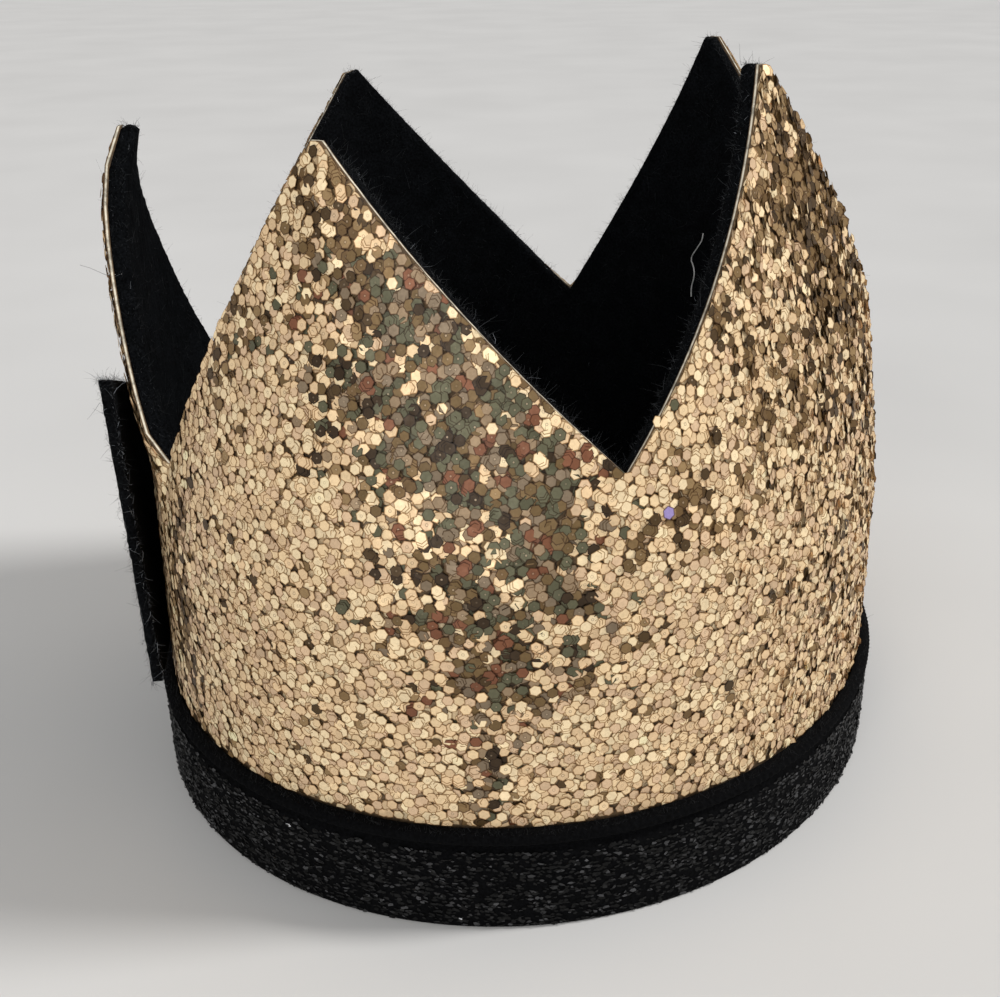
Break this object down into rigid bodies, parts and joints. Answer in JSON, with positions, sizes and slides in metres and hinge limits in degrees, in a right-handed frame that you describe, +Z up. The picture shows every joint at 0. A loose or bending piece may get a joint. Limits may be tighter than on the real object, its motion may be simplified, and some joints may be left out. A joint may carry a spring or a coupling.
{
  "type": "glitter party crown",
  "caption": "Small hand-made party crown: gold glitter canvas ring with pointed top, black felt lining, black glitter elastic round the foot and a felt patch over the seam.",
  "frame": {"origin": "middle of the oval head opening, level with the foot of the ring", "axes": "+Z up towards the points, -Y towards the notch in front, -X towards the seam and its patch"},
  "size_m": [0.078, 0.0832, 0.069],
  "materials": {
    "lining_felt": "black matted felt with loose fibres along the cut edges",
    "gold_glitter": "overlapping metallic gold hexagon flakes on a cream canvas backing",
    "glitter_elastic": "black woven elastic with a ribbed selvedge and fine dark glitter",
    "patch_felt": "black matted felt with a rough cut edge"
  },
  "bodies": {
    "root": {"felt_lining": "lining_felt", "glitter_canvas": "gold_glitter", "elastic_band": "glitter_elastic", "seam_patch": "patch_felt"}
  },
  "joints": []
}
